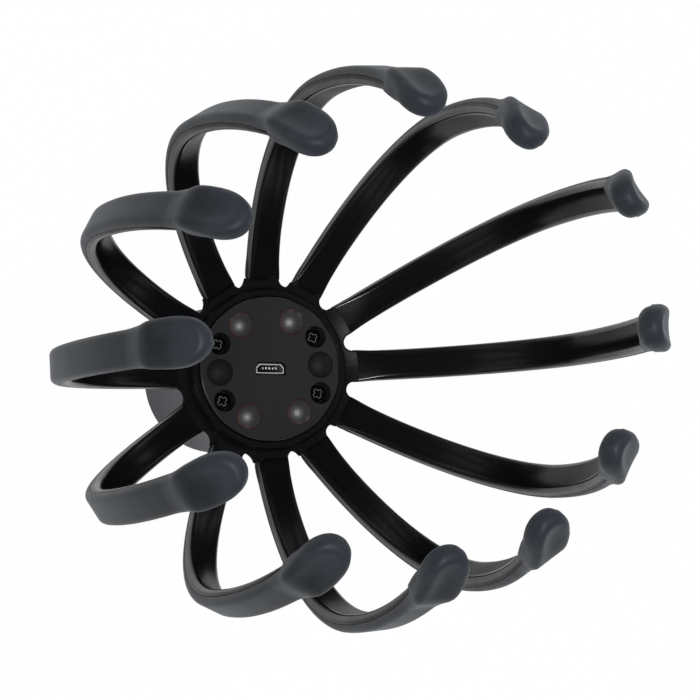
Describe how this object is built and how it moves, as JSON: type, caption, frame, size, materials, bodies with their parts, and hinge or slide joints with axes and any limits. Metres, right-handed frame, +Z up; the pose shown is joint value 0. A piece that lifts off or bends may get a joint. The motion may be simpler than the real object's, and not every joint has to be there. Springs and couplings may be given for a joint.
{
  "type": "electric scalp massager",
  "caption": "Hand-held electric scalp massager: short grip with a power button at its end, a hub with lamps and a charging port, and a ring of curved claws with soft paddle tips.",
  "frame": {"origin": "middle of the flat end of the grip that the massager stands on", "axes": "+Z up through the hub towards the claw tips, +X through the first claw, which lies close to the azimuth of the first rubber stud and of the long side of the charging port, +Y by the right-hand rule"},
  "size_m": [0.1333, 0.1299, 0.1743],
  "materials": {
    "gloss_black": "moulded gloss",
    "soft_grey": "soft matt overmould",
    "matt_black": "fine matt",
    "red_lens": "polished, red-tinted",
    "black_rubber": "matt",
    "screw_steel": "zinc plated",
    "port_steel": "plated, bright",
    "black_insulator": "smooth",
    "green_board": "solder mask",
    "clear_red_led": "clear moulded",
    "textured_grey": "fine moulded texture",
    "button_grey": "satin",
    "clear_rubber": "soft, translucent",
    "switch_steel": "stamped",
    "frame_plastic": "moulded",
    "grey_foam": "foam",
    "cell_foil": "laminated foil",
    "motor_steel": "drawn can",
    "white_insulator": "moulded",
    "shaft_steel": "ground",
    "weight_metal": "sintered",
    "red_wire": "insulated lead",
    "black_wire": "insulated lead"
  },
  "bodies": {
    "base": {"battery_cell": "cell_foil", "battery_foam": "grey_foam", "battery_lead_a": "red_wire", "battery_lead_b": "black_wire", "button_seal": "clear_rubber", "charger_chip": "black_insulator", "chassis": "frame_plastic", "claw_core_01": "gloss_black", "claw_core_02": "gloss_black", "claw_core_03": "gloss_black", "claw_core_04": "gloss_black", "claw_core_05": "gloss_black", "claw_core_06": "gloss_black", "claw_core_07": "gloss_black", "claw_core_08": "gloss_black", "claw_core_09": "gloss_black", "claw_core_10": "gloss_black", "claw_core_11": "gloss_black", "claw_core_12": "gloss_black", "claw_ring": "gloss_black", "claw_skin_01": "soft_grey", "claw_skin_02": "soft_grey", "claw_skin_03": "soft_grey", "claw_skin_04": "soft_grey", "claw_skin_05": "soft_grey", "claw_skin_06": "soft_grey", "claw_skin_07": "soft_grey", "claw_skin_08": "soft_grey", "claw_skin_09": "soft_grey", "claw_skin_10": "soft_grey", "claw_skin_11": "soft_grey", "claw_skin_12": "soft_grey", "cover_screws": "screw_steel", "end_cap": "textured_grey", "grip_shell": "textured_grey", "hub_board": "green_board", "hub_cover": "matt_black", "lamp_leds": "clear_red_led", "lamp_lens_1": "red_lens", "lamp_lens_2": "red_lens", "lamp_lens_3": "red_lens", "lamp_lens_4": "red_lens", "motor_can": "motor_steel", "motor_end": "white_insulator", "motor_lead_a": "red_wire", "motor_lead_b": "black_wire", "motor_sleeve": "black_rubber", "port_shell": "port_steel", "port_tongue": "black_insulator", "rubber_stud_1": "black_rubber", "rubber_stud_2": "black_rubber", "switch_board": "green_board", "switch_body": "switch_steel", "switch_lead_a": "red_wire", "switch_lead_b": "black_wire"},
    "button": {"power_button": "button_grey"},
    "plunger": {"switch_plunger": "black_insulator"},
    "rotor": {"motor_shaft": "shaft_steel", "eccentric_weight": "weight_metal"}
  },
  "joints": [
    {"name": "button_press", "type": "slide", "parent": "base", "child": "button", "axis": [0, 0, 1], "range_m": [0, 0.0005], "stiffness_N_per_m": 2500, "springref_m": -0.0002},
    {"name": "plunger_slide", "type": "slide", "parent": "base", "child": "plunger", "axis": [0, 0, 1], "range_m": [0, 0.0006]},
    {"name": "rotor_spin", "type": "hinge", "parent": "base", "child": "rotor", "pos_m": [0.0085, 0, 0.03], "axis": [0, 0, 1], "continuous": true}
  ],
  "couplings": [
    {"joint": "plunger_slide", "follows": "button_press", "ratio": 1}
  ]
}
